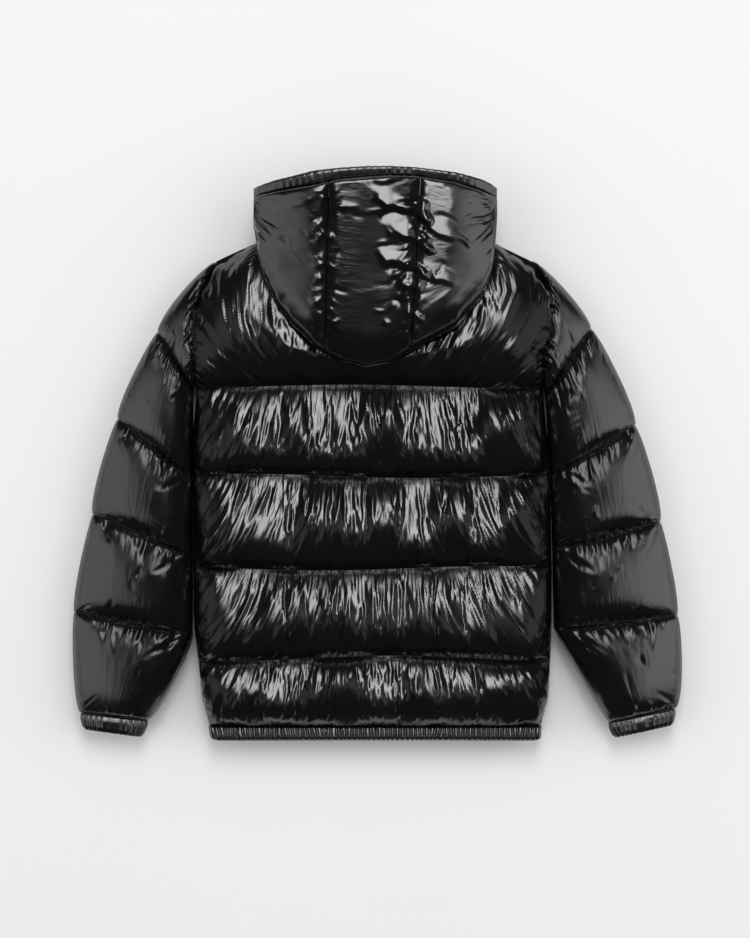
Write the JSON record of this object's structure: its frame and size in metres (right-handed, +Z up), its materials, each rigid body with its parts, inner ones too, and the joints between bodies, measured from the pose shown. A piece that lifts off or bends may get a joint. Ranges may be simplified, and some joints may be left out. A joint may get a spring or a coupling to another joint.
{
  "type": "hooded puffer jacket",
  "caption": "Glossy hooded puffer jacket, zipped shut and laid flat on its front, with quilted baffles, gathered cuffs and hem, and the hood folded down on the back.",
  "frame": {"origin": "on the surface it lies on, under the middle of the jacket's footprint", "axes": "+X across the jacket, towards the sleeve on the right as seen from above; +Y from the hem to the hood; +Z up, out of the back"},
  "size_m": [0.8554, 0.798, 0.1295],
  "materials": {
    "shell": "high-gloss coated black woven shell, wrinkled by its quilting",
    "gathered_trim": "the same glossy black cloth, gathered over elastic",
    "zip_tape": "matt black woven tape",
    "zip_teeth": "black moulded teeth",
    "zip_metal": "black lacquered metal"
  },
  "bodies": {
    "jacket": {"back": "shell", "front_left": "shell", "front_right": "shell", "sleeve_left_top": "shell", "sleeve_left_under": "shell", "sleeve_right_top": "shell", "sleeve_right_under": "shell", "hood_left": "shell", "hood_center": "shell", "hood_right": "shell", "collar_left": "shell", "collar_right": "shell", "hood_rim": "gathered_trim", "cuff_left": "gathered_trim", "cuff_right": "gathered_trim", "hem_back": "gathered_trim", "hem_front_left": "gathered_trim", "hem_front_right": "gathered_trim", "zip_tape_left": "zip_tape", "zip_tape_right": "zip_tape", "zip_chain": "zip_teeth", "zip_slider": "zip_metal"},
    "pull": {"zip_pull": "zip_metal"}
  },
  "joints": [
    {"name": "pull_swing", "type": "hinge", "parent": "jacket", "child": "pull", "pos_m": [-0.00328, 0.3585, 0.0152], "axis": [1, 0, 0], "range_deg": [-29, 138]}
  ]
}
